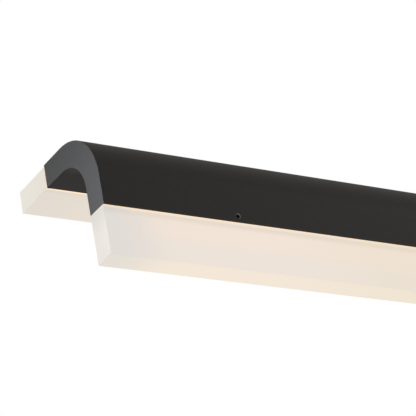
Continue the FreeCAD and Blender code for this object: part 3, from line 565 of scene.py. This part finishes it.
def make_mounting_plate():
    """A stamped strap with the ears that the canopy is screwed to, and slots for the wall box's screws."""
    reach, through = plate_high.x, PLATE_GAUGE + MM
    ears = prism(strap_outline, along_z, -EAR_HALF, EAR_HALF, PLATE_EDGE, PLATE_EDGE)
    flat = prism(rectangle((-reach + PLATE_BEND, plate_low.z), (reach - PLATE_BEND, plate_high.z), 3 * MM),
                 along_y, -PLATE_GAUGE, 0, PLATE_EDGE, PLATE_EDGE)
    solid = combined(flat, "UNION", [ears], "strap")
    cutters = [box_screw_slot(side) for side in (-1, 1)]
    cutters += [drill(Vector((0, 0, 0)), (0, -1, 0), HOUSE_WIRE_HOLE, through, 0.2 * MM),
                drill(Vector((GROUND_SPREAD, 0, 0)), (0, -1, 0), TAPPED_HOLE, through)]
    cutters += [drill(Vector((side * reach, CANOPY_SCREW_Y, 0)), (-side, 0, 0), TAPPED_HOLE, through)
                for side in (-1, 1)]
    plate = combined(solid, "DIFFERENCE", cutters, "wall_strap")
    new_piece("wall_strap", plate, "zinc_steel", "mounting_plate")


def make_ground_screw():
    """A hexagon washer-head screw with a slot, through the ground lead's ring."""
    low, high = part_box("ground_screw")
    middle = Vector((GROUND_SPREAD, 0, 0))
    tip, top = -high.y, -low.y
    seat, shank, ease = top - 2.4 * MM, 1.95 * MM, 0.25 * MM
    flats, smaller = 8 * MM, 7.2 * MM
    flange = flats / 2 / math.cos(math.pi / 6)
    profile = [(tip, 0), (tip, shank - ease), (tip + ease, shank), (seat, shank), (seat, flange - 0.1 * MM),
               (seat + 0.6 * MM, flange - 0.2 * MM), (seat + 0.6 * MM, hexagonal(smaller)),
               (top - 0.3 * MM, hexagonal(smaller)), (top, hexagonal(smaller, flats / 2 - 0.5 * MM)),
               (top, 0)]
    screw = turned(profile, middle, (0, -1, 0))
    slot = prism(rectangle((middle.x - 6 * MM, -0.5 * MM), (middle.x + 6 * MM, 0.5 * MM)), along_y,
                 low.y - MM, low.y + 1.2 * MM)
    new_piece("ground_bond_screw", combined(screw, "DIFFERENCE", [slot], "ground_bond_screw"), "green_steel",
              "ground_screw")


# ---- driver and terminal block ----

def driver_shell(low, high, seat, back):
    """The driver's case: two halves that meet at a groove, with a rounded edge round its back."""
    corner, edge, groove, lip = 2.5 * MM, 1.2 * MM, 0.35 * MM, 0.25 * MM
    case = rectangle(low, high, corner, 6)
    parting = seat + 0.68 * (back - seat)
    stations = eased(seat, parting - groove / 2, 0, lip)
    stations += [(parting - groove / 2, groove), (parting + groove / 2, groove)]
    stations += eased(parting + groove / 2, back, lip, edge)
    bm = bmesh.new()
    loft(bm, [[along_y(s, u, v) for u, v in case(depth)] for s, depth in stations])
    return finished("driver_case", bm)


def make_driver():
    """A moulded case with a label recess, on two tabs that fit the canopy's studs."""
    tab_length, tab_half, tab_thick = 9 * MM, 6 * MM, 2 * MM
    margin, recess_depth = Vector((8 * MM, 6 * MM)), 0.4 * MM
    low = Vector((driver_low.x + tab_length, driver_low.z))
    high = Vector((driver_high.x - tab_length, driver_high.z))
    seat, back = driver_low.y, driver_high.y
    tabs = prism(rectangle((driver_low.x, DRIVER_Z - tab_half), (driver_high.x, DRIVER_Z + tab_half), 3 * MM),
                 along_y, seat, seat + tab_thick, 0, 0.3 * MM)
    body = combined(driver_shell(low, high, seat, back), "UNION", [tabs], "driver_case")
    cutters = [drill(Vector((side * STUD_SPREAD, seat + tab_thick, DRIVER_Z)), (0, -1, 0), STUD_RADIUS + PLAY,
                     1.5 * tab_thick) for side in (-1, 1)]
    cutters.append(prism(rectangle(low + margin, high - margin, 2 * MM), along_y, back - recess_depth,
                         back + MM))
    body = combined(body, "DIFFERENCE", cutters, "driver_case")
    new_piece("driver_case", body, "driver_case", "led_driver")


def make_stud_nuts():
    """Hexagon nuts that hold the driver on its studs."""
    low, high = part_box("driver_nuts")
    flats, hole, chamfer = 5.5 * MM, STUD_RADIUS + 0.05 * MM, 0.25 * MM
    circle = flats / 2 * 1.04
    profile = [(low.y, hole), (low.y, hexagonal(flats, circle)), (low.y + chamfer, hexagonal(flats)),
               (high.y - chamfer, hexagonal(flats)), (high.y, hexagonal(flats, circle)), (high.y, hole)]
    nut = turned(profile, Vector((STUD_SPREAD, 0, DRIVER_Z)), (0, 1, 0))
    new_piece("stud_nuts", both(nut), "zinc_steel", "driver_nuts")


def make_terminal_block():
    """Three poles side by side. Each has a round port and a square release port behind, for the house's wire,
    and a small port on top for the driver's wire."""
    low, high = block_low, block_high
    pitch, level = (high.x - low.x) / 3, (low.z + high.z) / 2
    port, release, release_level, top_port = 1.6 * MM, 1 * MM, 2.8 * MM, 1.1 * MM
    body = prism(rectangle(low.xz, high.xz, 1 * MM), along_y, low.y, high.y, 0, 0.5 * MM)
    cutters = []
    for x in (-pitch, 0, pitch):
        cutters.append(drill(Vector((x, high.y, level - 1.5 * MM)), (0, -1, 0), port, 6 * MM, 0.5 * MM))
        cutters.append(prism(rectangle((x - 1.2 * MM, level + release_level - release),
                                       (x + 1.2 * MM, level + release_level + release)),
                             along_y, high.y - 3 * MM, high.y + MM))
        cutters.append(drill(Vector((x, LEAD_Y, high.z)), (0, 0, -1), top_port, 3 * MM, 0.3 * MM))
    for x in (-pitch / 2, pitch / 2):
        cutters.append(prism(rectangle((x - 0.25 * MM, low.z - MM), (x + 0.25 * MM, high.z + MM)),
                             along_y, high.y - 0.5 * MM, high.y + MM))
    block = combined(body, "DIFFERENCE", cutters, "wire_terminal")
    new_piece("wire_terminal", block, "terminal_body", "terminal_block")


# ---- materials ----

BUMP_STRENGTH = 0.6


class Look:
    """A procedural material under construction, on object coordinates."""

    def __init__(self, name, **plain):
        self.material = bpy.data.materials.new(name)
        self.material.use_nodes = True
        self.nodes = self.material.node_tree.nodes
        self.links = self.material.node_tree.links
        self.shader = self.nodes["Principled BSDF"]
        self.place = self.nodes.new("ShaderNodeTexCoord").outputs["Object"]
        for socket, number in plain.items():
            self.shader.inputs[socket.replace("_", " ")].default_value = number

    def link(self, source, target):
        """Joins an output to an input."""
        self.links.new(source, target)

    def to(self, socket, source):
        """Feeds one of the shader's sockets."""
        self.link(source, self.shader.inputs[socket])

    def math(self, operation, first, second=0.0):
        """The result of an operation on numbers or sockets."""
        node = self.nodes.new("ShaderNodeMath")
        node.operation = operation
        for socket, given in zip(node.inputs, (first, second)):
            if isinstance(given, bpy.types.NodeSocket):
                self.link(given, socket)
            else:
                socket.default_value = given
        return node.outputs[0]

    def distance(self, across, up):
        """How far from an axis a point is, from its two offsets."""
        return self.math("SQRT", self.math("ADD", self.math("MULTIPLY", across, across),
                                           self.math("MULTIPLY", up, up)))

    def step(self, source, low, high):
        """0 at low, 1 at high, smooth between and constant beyond."""
        node = self.nodes.new("ShaderNodeMapRange")
        node.interpolation_type = "SMOOTHSTEP"
        node.inputs["From Min"].default_value = low
        node.inputs["From Max"].default_value = high
        self.link(source, node.inputs["Value"])
        return node.outputs["Result"]

    def noise(self, size, detail=3.0, roughness=0.5, stretch=(1, 1, 1)):
        """Noise whose blotches are about size across."""
        mapping = self.nodes.new("ShaderNodeMapping")
        mapping.inputs["Scale"].default_value = stretch
        self.link(self.place, mapping.inputs["Vector"])
        node = self.nodes.new("ShaderNodeTexNoise")
        node.inputs["Scale"].default_value = 1 / size
        node.inputs["Detail"].default_value = detail
        node.inputs["Roughness"].default_value = roughness
        self.link(mapping.outputs["Vector"], node.inputs["Vector"])
        return node.outputs["Fac"]

    def blend(self, share, low, high):
        """A colour or number between low and high."""
        node = self.nodes.new("ShaderNodeMix")
        number = isinstance(low, (int, float))
        node.data_type = "FLOAT" if number else "RGBA"
        kind = "NodeSocketFloat" if number else "NodeSocketColor"
        self.link(share, next(s for s in node.inputs if s.bl_idname.startswith("NodeSocketFloat")))
        ends = [s for s in node.inputs if s.bl_idname.startswith(kind) and s.name in "AB"]
        for socket, given in zip(ends, (low, high)):
            if isinstance(given, bpy.types.NodeSocket):
                self.link(given, socket)
            else:
                socket.default_value = given if number else (*given, 1)
        return next(s for s in node.outputs if s.bl_idname.startswith(kind))

    def bump(self, height, distance):
        """Presses a height into the surface, distance deep."""
        node = self.nodes.new("ShaderNodeBump")
        node.inputs["Strength"].default_value = BUMP_STRENGTH
        node.inputs["Distance"].default_value = distance
        self.link(height, node.inputs["Height"])
        self.to("Normal", node.outputs["Normal"])

    def axes(self):
        """The point's coordinates, x, y and z."""
        node = self.nodes.new("ShaderNodeSeparateXYZ")
        self.link(self.place, node.inputs["Vector"])
        return node.outputs["X"], node.outputs["Y"], node.outputs["Z"]


# Each finish: two colours, the size of its colour blotches, its roughness range, its grain's size and
# height, the grain's stretch, and plain shader values. Sizes in mm.
EVEN, LENGTHWISE = (1, 1, 1), (0.04, 1, 1)
FINISHES = {
    "black_steel": ((0.012, 0.012, 0.013), (0.028, 0.028, 0.029), 1.5, (0.26, 0.4), 0.15, 0.01, EVEN,
                    {"Metallic": 0.6}),
    "zinc_steel": ((0.44, 0.45, 0.46), (0.56, 0.57, 0.56), 4, (0.36, 0.5), 0.3, 0.01, LENGTHWISE,
                   {"Metallic": 1.0}),
    "brass_thread": ((0.62, 0.46, 0.20), (0.76, 0.58, 0.28), 3, (0.2, 0.34), 0.2, 0.008, EVEN,
                     {"Metallic": 1.0}),
    "board_white": ((0.78, 0.78, 0.76), (0.85, 0.85, 0.83), 8, (0.3, 0.42), 0.4, 0.01, EVEN, {}),
    "plug_white": ((0.76, 0.75, 0.70), (0.83, 0.82, 0.78), 3, (0.42, 0.55), 0.3, 0.02, EVEN, {}),
    "black_rubber": ((0.016, 0.016, 0.016), (0.03, 0.03, 0.03), 1, (0.6, 0.8), 0.2, 0.02, EVEN, {}),
    "green_steel": ((0.02, 0.18, 0.05), (0.05, 0.28, 0.09), 1.5, (0.25, 0.38), 0.2, 0.01, EVEN,
                    {"Metallic": 0.5}),
    "driver_case": ((0.70, 0.70, 0.68), (0.78, 0.78, 0.76), 12, (0.5, 0.62), 0.35, 0.04, EVEN, {}),
    "terminal_body": ((0.46, 0.47, 0.46), (0.56, 0.57, 0.56), 4, (0.4, 0.52), 0.3, 0.02, EVEN, {}),
    "wire_black": ((0.012, 0.012, 0.012), (0.024, 0.024, 0.024), 2, (0.34, 0.5), 0.5, 0.02, EVEN, {}),
    "wire_white": ((0.70, 0.69, 0.65), (0.80, 0.79, 0.75), 2, (0.34, 0.5), 0.5, 0.02, EVEN, {}),
    "wire_green": ((0.03, 0.22, 0.06), (0.05, 0.30, 0.10), 2, (0.34, 0.5), 0.5, 0.02, EVEN, {}),
    "wire_grey": ((0.21, 0.21, 0.21), (0.29, 0.29, 0.29), 2, (0.4, 0.55), 0.5, 0.02, EVEN, {}),
    "black_powder_coat": ((0.0165, 0.0158, 0.0146), (0.0245, 0.0234, 0.0216), 5, (0.40, 0.50), 0.5, 0.016,
                          EVEN, {"Specular IOR Level": 0.4}),
    "led_phosphor": ((0.85, 0.66, 0.20), (0.93, 0.75, 0.28), 1.5, (0.3, 0.45), 0.3, 0.02, EVEN,
                     {"Emission Strength": 2.0}),
    "opal_acrylic": ((0.42, 0.413, 0.402), (0.44, 0.433, 0.422), 25, (0.30, 0.38), 4, 0.01, EVEN,
                     {"Emission Strength": 1.0}),
}
BARE_METAL = (0.42, 0.42, 0.41)
PHOSPHOR_GLOW = (1.0, 0.78, 0.48), (1.0, 0.83, 0.56)
made = {}


def plain_finish(name, key):
    """A finish of FINISHES: two blended colours, uneven roughness and a fine grain."""
    first, second, blotch, shine, grain, height, stretch, plain = FINISHES[key]
    look = Look(name, **plain)
    look.to("Base Color", look.blend(look.noise(blotch * MM, 3, 0.6), first, second))
    texture = look.noise(grain * MM, 2, 0.5, stretch)
    look.to("Roughness", look.blend(look.noise(grain * 6 * MM, 3, 0.6, stretch), *shine))
    look.bump(texture, height * MM)
    return look


def finish(key):
    """The material of a slot, made once."""
    if key not in made:
        look = plain_finish(key, key)
        if key == "led_phosphor":
            look.to("Emission Color", look.blend(look.noise(1 * MM), *PHOSPHOR_GLOW))
        if key == "black_powder_coat":
            bare_the_tapped_holes(look)
        made[key] = look.material
    return made[key]


def bare_the_tapped_holes(look):
    """The set-screw holes are countersunk and tapped after coating, so they are bare metal."""
    x, y, z = look.axes()
    along = look.math("SUBTRACT", look.math("ABSOLUTE", x), SCREW_SPREAD)
    behind, below = look.math("SUBTRACT", y, FRONT), look.math("SUBTRACT", TOP, z)
    rim = SCREW_RADIUS + SCREW_SINK
    blur = 0.03 * MM
    coated = 1.0
    for down_leg, under in ((below, behind), (behind, below)):
        level = look.math("SUBTRACT", down_leg, SCREW_LEVEL)
        beside = look.step(look.distance(along, level), rim - blur, rim + blur)
        beyond = look.step(under, LIP + PLAY, LIP + 2 * PLAY)
        coated = look.math("MINIMUM", coated, look.math("MAXIMUM", beside, beyond))
    coat = look.shader.inputs["Base Color"].links[0].from_socket
    look.to("Base Color", look.blend(coated, BARE_METAL, coat))
    look.to("Metallic", look.blend(coated, 1.0, 0.0))


# The glow's colours on each block. "end" is by the bar's ends; "upper" and "lower" are further in; "joint" is
# the line by the shade and "band" the strip next to it; "edge" is the face at the far end of the block.
# Besides the block's own glow, these colours carry painted light and shade: the rear block's colours are
# dimmer than the front's as painted shade, "edge" and "edge_end" add a painted highlight along the far edge,
# and "end_face_top" and "end_face_low" paint the end face darker next to the joint as painted shade.
OPAL_GLOW_WITH_PAINTED_LIGHT_AND_SHADE = {
    "front": {
        "end": (0.567, 0.537, 0.508), "upper": (0.692, 0.587, 0.504), "lower": (0.653, 0.583, 0.517),
        "edge_end": (0.568, 0.524, 0.465), "edge": (0.685, 0.591, 0.492),
        "joint_end": (0.63, 0.56, 0.475), "joint": (0.71, 0.625, 0.533),
        "band_end": (0.505, 0.485, 0.46), "band": (0.62, 0.526, 0.434),
        "end_face_top": (0.376, 0.35, 0.30), "end_face_low": (0.485, 0.446, 0.407),
    },
    # Painted shade: the rear block's colours are dimmer than the front's.
    "rear": {
        "end": (0.554, 0.499, 0.447), "upper": (0.585, 0.52, 0.44), "lower": (0.585, 0.52, 0.44),
        "edge_end": (0.568, 0.524, 0.465), "edge": (0.685, 0.591, 0.492),
        "joint_end": (0.64, 0.57, 0.46), "joint": (0.68, 0.59, 0.46),
        "band_end": (0.53, 0.475, 0.415), "band": (0.57, 0.49, 0.40),
        "end_face_top": (0.431, 0.37, 0.293), "end_face_low": (0.434, 0.404, 0.33),
    },
}
MIDDLE_GLOW, MIDDLE_SHARE = (0.53, 0.45, 0.25), 0.17
# The seam's colour is partly the light that leaks from the gap under the lip and partly a painted highlight,
# brighter than the glow so that the lip's eased edge catches it.
SEAM_LEAK_AND_PAINTED_HIGHLIGHT = (1.35, 0.92, 0.52)
BLOCK = DROP - LEG
# Where the glow goes over from one colour to the next: depths from the joint, and lengths from a bar's end.
SEAM_DEPTH, LINE_DEPTH, BAND_DEPTH = (0.25 * MM, 0.45 * MM), (1.5 * MM, 2.6 * MM), (4 * MM, 8.5 * MM)
LOWER_DEPTH, EDGE_DEPTH = (18 * MM, 32 * MM), (BLOCK - 1 * MM, BLOCK - 0.2 * MM)
END_FACE_DEPTH, END_FACE_LENGTH, JOINT_LENGTH = (0, 0.62 * BLOCK), (0, 0.12 * MM), (0.2 * MM, 40 * MM)
LIT_LENGTH, MIDDLE_LENGTH = (8 * MM, 66 * MM), (150 * MM, 300 * MM)


def opal_acrylic(leg):
    """Lit through the tongue. The glow is cooler and dimmer near the bar's ends, beyond the last lights, and
    warmer towards its middle. It is brightest in a thin seam at the joint.
    On top of that glow there is painted light and shade: a painted highlight in the seam and along the far
    edge, and painted shade on the end faces and over the whole rear block."""
    look = plain_finish("opal_acrylic_" + leg, "opal_acrylic")
    shades = OPAL_GLOW_WITH_PAINTED_LIGHT_AND_SHADE[leg]
    x, y, z = look.axes()
    from_end = look.math("SUBTRACT", HALF_BAR, look.math("ABSOLUTE", x))
    if leg == "front":
        depth = look.math("SUBTRACT", TOP - LEG, z)
    else:
        depth = look.math("SUBTRACT", y, FRONT + LEG)
    lit = look.step(from_end, *LIT_LENGTH)
    upper = look.blend(lit, shades["end"], shades["upper"])
    lower = look.blend(lit, shades["end"], shades["lower"])
    glow = look.blend(look.step(depth, *LOWER_DEPTH), upper, lower)
    # Painted highlight along the block's far edge, brighter than the glow beside it.
    painted_edge_highlight = look.blend(lit, shades["edge_end"], shades["edge"])
    glow = look.blend(look.step(depth, *EDGE_DEPTH), glow, painted_edge_highlight)
    past_line, inward = look.step(depth, *LINE_DEPTH), look.step(from_end, *JOINT_LENGTH)
    near_joint = look.blend(inward, look.blend(past_line, shades["joint_end"], shades["band_end"]),
                            look.blend(past_line, shades["joint"], shades["band"]))
    glow = look.blend(look.step(depth, *BAND_DEPTH), near_joint, glow)
    # Painted highlight: a thin seam at the joint, brighter than the block's glow, partly the light that leaks
    # under the lip.
    glow = look.blend(look.step(depth, *SEAM_DEPTH), SEAM_LEAK_AND_PAINTED_HIGHLIGHT, glow)
    towards_middle = look.math("MULTIPLY", look.step(from_end, *MIDDLE_LENGTH), MIDDLE_SHARE)
    glow = look.blend(towards_middle, glow, MIDDLE_GLOW)
    # The end face's colour is painted shade, darker next to the joint.
    end_face_painted_shade = look.blend(look.step(depth, *END_FACE_DEPTH), shades["end_face_top"], shades["end_face_low"])
    glow = look.blend(look.step(from_end, *END_FACE_LENGTH), end_face_painted_shade, glow)
    look.to("Emission Color", glow)
    return look.material


def wear_cad_materials():
    """The CAD nodes that still show keep their shape and take their slots' finishes."""
    slots = {row["node"]: row["material_slot"] for row in frame["record"]["subparts"]}
    for name, node in frame["nodes"].items():
        node.data.materials.clear()
        node.data.materials.append(finish(slots[name]))


# ---- camera, light and floor ----

# Angles in degrees; the aim is in the shade's own coordinates. The room's strengths are below and above.
LENS, SENSOR = 178.35, 36
AZIMUTH, ELEVATION, ROLL, DISTANCE = -36.84, -27.36, -10.917, 1.6727
AIM = at(-0.20578, 0, -0.07039)
ROOM_COLOUR, ROOM_BELOW, ROOM_LEVEL = (1, 0.97, 0.925, 1), 0.53, 0.34
FLOOR_LEVEL, FLOOR_HALF, FLOOR_BLOTCH = -3.7, 60, 0.5


def place_camera():
    """From below and to the left, rolled so that the bar falls away to the right."""
    azimuth, elevation = math.radians(AZIMUTH), math.radians(ELEVATION)
    back = Vector((math.sin(azimuth) * math.cos(elevation), -math.cos(azimuth) * math.cos(elevation),
                   math.sin(elevation)))
    data = bpy.data.cameras.new("camera")
    data.lens, data.sensor_width = LENS, SENSOR
    camera = bpy.data.objects.new("camera", data)
    turn = (-back).to_track_quat("-Z", "Y").to_matrix().to_4x4()
    roll = Matrix.Rotation(math.radians(ROLL), 4, "Z")
    camera.matrix_world = Matrix.Translation(AIM + back * DISTANCE) @ turn @ roll
    bpy.context.scene.collection.objects.link(camera)
    bpy.context.scene.camera = camera


def area_light(name, position, target, size, power, colour):
    """A square soft light at a position, pointed at a target."""
    data = bpy.data.lights.new(name, "AREA")
    data.shape = "SQUARE"
    data.size, data.energy, data.color = size, power, colour
    light = bpy.data.objects.new(name, data)
    light.location = position
    light.rotation_mode = "QUATERNION"
    light.rotation_quaternion = (Vector(target) - Vector(position)).to_track_quat("-Z", "Y")
    bpy.context.scene.collection.objects.link(light)


def make_room():
    """A white background to look at, and an even room that is brighter below to light the object."""
    world = bpy.data.worlds.new("studio")
    world.use_nodes = True
    nodes, links = world.node_tree.nodes, world.node_tree.links
    seen = nodes["Background"]
    seen.inputs["Color"].default_value = (1, 1, 1, 1)
    room = nodes.new("ShaderNodeBackground")
    room.inputs["Color"].default_value = ROOM_COLOUR
    split = nodes.new("ShaderNodeSeparateXYZ")
    links.new(nodes.new("ShaderNodeTexCoord").outputs["Generated"], split.inputs[0])
    level = nodes.new("ShaderNodeMapRange")
    level.inputs["From Min"].default_value, level.inputs["From Max"].default_value = -0.9, 0.0
    level.inputs["To Min"].default_value, level.inputs["To Max"].default_value = ROOM_BELOW, ROOM_LEVEL
    links.new(split.outputs["Z"], level.inputs["Value"])
    links.new(level.outputs[0], room.inputs["Strength"])
    path = nodes.new("ShaderNodeLightPath")
    pick = nodes.new("ShaderNodeMixShader")
    links.new(path.outputs["Is Camera Ray"], pick.inputs[0])
    links.new(room.outputs[0], pick.inputs[1])
    links.new(seen.outputs[0], pick.inputs[2])
    links.new(pick.outputs[0], nodes["World Output"].inputs["Surface"])
    bpy.context.scene.world = world


def hang_lights():
    """A small cool light beside the left end cap, and a large warm one in front at the right."""
    area_light("by_the_cap", position=(-0.613, 0.096, 0.087), target=(-0.3, -0.08, -0.05), size=0.12,
               power=0.73, colour=(0.90, 0.94, 1.0))
    area_light("front_right", position=(1.95, -2.0, 1.22), target=(0, -0.08, -0.05), size=1.6,
               power=4.4, colour=(1, 0.98, 0.95))


def lay_floor():
    """A pale floor, far below. It is bright of itself and lights nothing."""
    bm = bmesh.new()
    bmesh.ops.create_grid(bm, x_segments=24, y_segments=24, size=FLOOR_HALF)
    mesh = bpy.data.meshes.new("floor")
    bm.to_mesh(mesh)
    bm.free()
    floor = bpy.data.objects.new("floor", mesh)
    floor.location = (0, 0, FLOOR_LEVEL)
    floor.visible_diffuse = floor.visible_glossy = floor.visible_transmission = False
    bpy.context.scene.collection.objects.link(floor)
    look = Look("pale_floor", Roughness=0.9, Specular_IOR_Level=0.1, Emission_Strength=1.0)
    shade = look.noise(FLOOR_BLOTCH, 2)
    look.to("Base Color", look.blend(shade, (0.50, 0.50, 0.49), (0.52, 0.52, 0.51)))
    look.to("Emission Color", look.blend(shade, (0.77, 0.77, 0.76), (0.79, 0.79, 0.78)))
    mesh.materials.append(look.material)


bpy.context.scene.view_settings.view_transform = "Standard"
place_camera()
make_room()
hang_lights()
lay_floor()
make_shade_body()
make_end_caps()
make_diffusers()
make_set_screws()
make_arms()
make_nipples()
make_clamping_nuts()
make_toothed_washers()
make_canopy()
make_mounting_plate()
make_ground_screw()
make_driver()
make_stud_nuts()
make_terminal_block()
wear_cad_materials()
